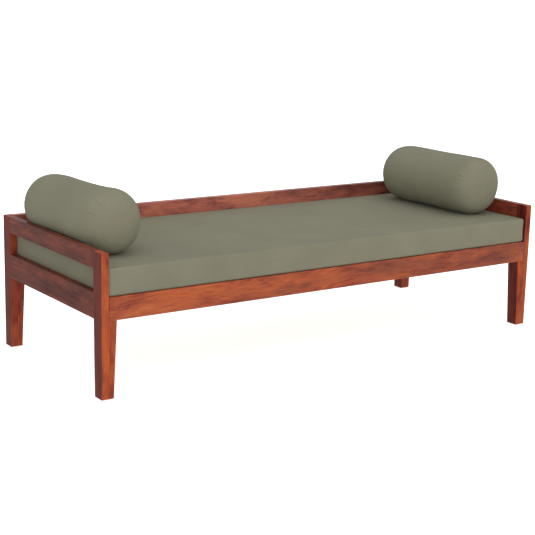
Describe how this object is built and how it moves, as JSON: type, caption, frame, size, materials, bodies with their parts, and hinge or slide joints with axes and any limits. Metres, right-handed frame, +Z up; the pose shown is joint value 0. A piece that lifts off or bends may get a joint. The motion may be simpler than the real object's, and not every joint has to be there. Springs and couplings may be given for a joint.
{
  "type": "daybed",
  "caption": "Low wooden daybed: tapered legs, slim end frames and back rail round a slatted seat, with a lift-out box mattress and a round bolster at each end.",
  "frame": {"origin": "on the floor, in the middle of the footprint", "axes": "+X along the length towards the right-hand end, +Y towards the back rail, +Z up"},
  "size_m": [1.98, 0.784, 0.6846],
  "materials": {
    "frame_wood": "satin",
    "seat_wood": "matt",
    "cover_fabric": "matt",
    "foam": "matt",
    "bolster_filling": "matt",
    "zip_tape": "matt",
    "zip_metal": "satin",
    "steel": "zinc plated",
    "insert_brass": "satin",
    "glide_nylon": "matt"
  },
  "bodies": {
    "frame": {"leg_front_left": "frame_wood", "leg_front_right": "frame_wood", "front_seat_rail": "frame_wood", "ledger_front": "seat_wood", "leg_rear_left": "frame_wood", "leg_rear_right": "frame_wood", "rear_seat_rail": "frame_wood", "ledger_rear": "seat_wood", "end_lower_rail_left": "frame_wood", "end_upper_rail_left": "frame_wood", "end_lower_rail_right": "frame_wood", "end_upper_rail_right": "frame_wood", "back_top_rail": "frame_wood", "cross_rail": "seat_wood", "cross_rail_dowels": "seat_wood", "slat_01": "seat_wood", "slat_02": "seat_wood", "slat_03": "seat_wood", "slat_04": "seat_wood", "slat_05": "seat_wood", "slat_06": "seat_wood", "slat_07": "seat_wood", "slat_08": "seat_wood", "slat_09": "seat_wood", "slat_10": "seat_wood", "slat_11": "seat_wood", "slat_12": "seat_wood", "slat_13": "seat_wood", "slat_screws": "steel", "ledger_screws": "steel", "rail_bolts": "steel", "rail_bolt_washers": "steel", "rail_inserts": "insert_brass", "foot_glides": "glide_nylon"},
    "mattress": {"mattress_cover": "cover_fabric", "mattress_core": "foam", "mattress_zip": "zip_tape"},
    "mattress_slider": {"mattress_zip_slider": "zip_metal"},
    "bolster_left": {"bolster_left_cover": "cover_fabric", "bolster_left_insert": "bolster_filling", "bolster_left_zip": "zip_tape"},
    "bolster_left_slider": {"bolster_left_zip_slider": "zip_metal"},
    "bolster_right": {"bolster_right_cover": "cover_fabric", "bolster_right_insert": "bolster_filling", "bolster_right_zip": "zip_tape"},
    "bolster_right_slider": {"bolster_right_zip_slider": "zip_metal"}
  },
  "joints": [
    {"name": "mattress_lift", "type": "slide", "parent": "frame", "child": "mattress", "axis": [0, 0, 1], "range_m": [0, 0.25]},
    {"name": "mattress_zip_run", "type": "slide", "parent": "mattress", "child": "mattress_slider", "axis": [1, 0, 0], "range_m": [0, 1.48]},
    {"name": "bolster_left_lift", "type": "slide", "parent": "mattress", "child": "bolster_left", "axis": [0, 0, 1], "range_m": [0, 0.25]},
    {"name": "bolster_left_zip_run", "type": "slide", "parent": "bolster_left", "child": "bolster_left_slider", "axis": [0, 1, 0], "range_m": [0, 0.36]},
    {"name": "bolster_right_lift", "type": "slide", "parent": "mattress", "child": "bolster_right", "axis": [0, 0, 1], "range_m": [0, 0.25]},
    {"name": "bolster_right_zip_run", "type": "slide", "parent": "bolster_right", "child": "bolster_right_slider", "axis": [0, 1, 0], "range_m": [0, 0.36]}
  ]
}
